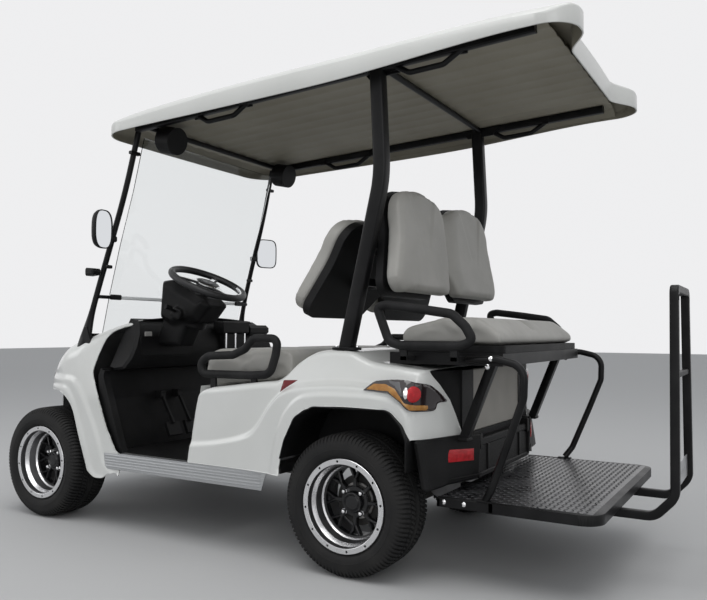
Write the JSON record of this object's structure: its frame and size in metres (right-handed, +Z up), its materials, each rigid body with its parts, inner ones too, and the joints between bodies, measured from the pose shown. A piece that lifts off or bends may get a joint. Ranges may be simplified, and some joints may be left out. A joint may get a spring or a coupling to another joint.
{
  "type": "golf cart",
  "caption": "Golf cart with canopy roof, fold-down windshield, forward and rear-facing benches, step plate, grab bar and wide tyres on spoked rims.",
  "frame": {"origin": "on the ground, under the middle of the cart's overall box", "axes": "+X is the cart's left side, -Y is forward, +Z is up"},
  "size_m": [1.3288, 3.0603, 1.956],
  "materials": {
    "tyre": "matt rubber",
    "rim": "machined and black",
    "cast_black": "painted",
    "bare_steel": "zinc plated",
    "chassis_black": "satin powder coat",
    "motor_alloy": "cast",
    "battery_case": "satin",
    "white_body": "pearl gloss",
    "white_roof": "satin",
    "ceiling_grey": "satin",
    "black_plastic": "fine grain",
    "panel_grey": "satin",
    "silver_alloy": "anodised",
    "wheel_rubber": "soft",
    "frame_black": "satin powder coat",
    "clear_pane": "clear",
    "seat_vinyl": "grained vinyl",
    "arm_pad": "moulded foam skin",
    "lamp_red": "smoked lens",
    "lamp_clear": "clear lens"
  },
  "bodies": {
    "chassis": {"armrests": "arm_pad", "battery_pack": "battery_case", "chassis_frame": "chassis_black", "dashboard": "black_plastic", "drive_motor": "motor_alloy", "floor_tub": "black_plastic", "footplate": "frame_black", "front_axle_beam": "chassis_black", "front_bumper": "black_plastic", "front_cowl": "white_body", "front_seat_back": "seat_vinyl", "front_seat_cushion": "seat_vinyl", "grab_bar": "frame_black", "headlights": "lamp_clear", "leaf_springs": "chassis_black", "main_struts": "frame_black", "pedals": "black_plastic", "plate_bracket": "silver_alloy", "rear_axle_housing": "cast_black", "rear_body": "white_body", "rear_bumper": "black_plastic", "rear_panel": "panel_grey", "rear_seat_back": "seat_vinyl", "rocker_panels": "silver_alloy", "roof_canopy": "white_roof", "roof_ceiling": "ceiling_grey", "roof_rails": "frame_black", "roof_speakers": "black_plastic", "seat_back_frame": "frame_black", "seat_shells": "black_plastic", "seat_support_frame": "frame_black", "side_mirrors": "black_plastic", "steering_pod": "black_plastic", "step_side_bars": "frame_black", "taillights": "lamp_red", "wheel_arch_liners": "black_plastic", "windshield_panes": "clear_pane", "windshield_struts": "frame_black"},
    "wheel_front_left": {"tyre_front_left": "tyre", "rim_front_left": "rim"},
    "wheel_front_right": {"tyre_front_right": "tyre", "rim_front_right": "rim"},
    "wheel_rear_left": {"tyre_rear_left": "tyre", "rim_rear_left": "rim", "rear_hub_left": "cast_black"},
    "wheel_rear_right": {"tyre_rear_right": "tyre", "rim_rear_right": "rim", "rear_hub_right": "cast_black"},
    "knuckle_left": {"knuckle_left": "cast_black"},
    "knuckle_right": {"knuckle_right": "cast_black"},
    "tie_rod": {"tie_rod": "bare_steel"},
    "steering_wheel": {"steering_wheel": "wheel_rubber"},
    "rear_seat": {"rear_seat_cushion": "seat_vinyl", "rear_seat_pan": "black_plastic"}
  },
  "joints": [
    {"name": "steer_left", "type": "hinge", "parent": "chassis", "child": "knuckle_left", "pos_m": [0.405, -1.195, 0.254], "axis": [0, 0, 1], "range_deg": [-28, 28]},
    {"name": "steer_right", "type": "hinge", "parent": "chassis", "child": "knuckle_right", "pos_m": [-0.405, -1.195, 0.254], "axis": [0, 0, 1], "range_deg": [-28, 28]},
    {"name": "tie_rod_slide", "type": "slide", "parent": "chassis", "child": "tie_rod", "axis": [1, 0, 0], "range_m": [-0.06, 0.06]},
    {"name": "steering_wheel_turn", "type": "hinge", "parent": "chassis", "child": "steering_wheel", "pos_m": [0.3, -0.475, 1.092], "axis": [0, 0.4226, 0.9063], "range_deg": [-370, 370]},
    {"name": "roll_front_left", "type": "hinge", "parent": "knuckle_left", "child": "wheel_front_left", "pos_m": [0.541, -1.195, 0.254], "axis": [1, 0, 0], "continuous": true},
    {"name": "roll_front_right", "type": "hinge", "parent": "knuckle_right", "child": "wheel_front_right", "pos_m": [-0.541, -1.195, 0.254], "axis": [1, 0, 0], "continuous": true},
    {"name": "roll_rear_left", "type": "hinge", "parent": "chassis", "child": "wheel_rear_left", "pos_m": [0.541, 0.475, 0.254], "axis": [1, 0, 0], "continuous": true},
    {"name": "roll_rear_right", "type": "hinge", "parent": "chassis", "child": "wheel_rear_right", "pos_m": [-0.541, 0.475, 0.254], "axis": [1, 0, 0], "continuous": true},
    {"name": "rear_seat_fold", "type": "hinge", "parent": "chassis", "child": "rear_seat", "pos_m": [0, 1.02, 0.814], "axis": [-1, 0, 0], "range_deg": [0, 180]}
  ],
  "couplings": [
    {"joint": "steer_right", "follows": "steer_left", "ratio": 1},
    {"joint": "tie_rod_slide", "follows": "steer_left", "m_per_rad": -0.12},
    {"joint": "steering_wheel_turn", "follows": "steer_left", "ratio": 13}
  ]
}
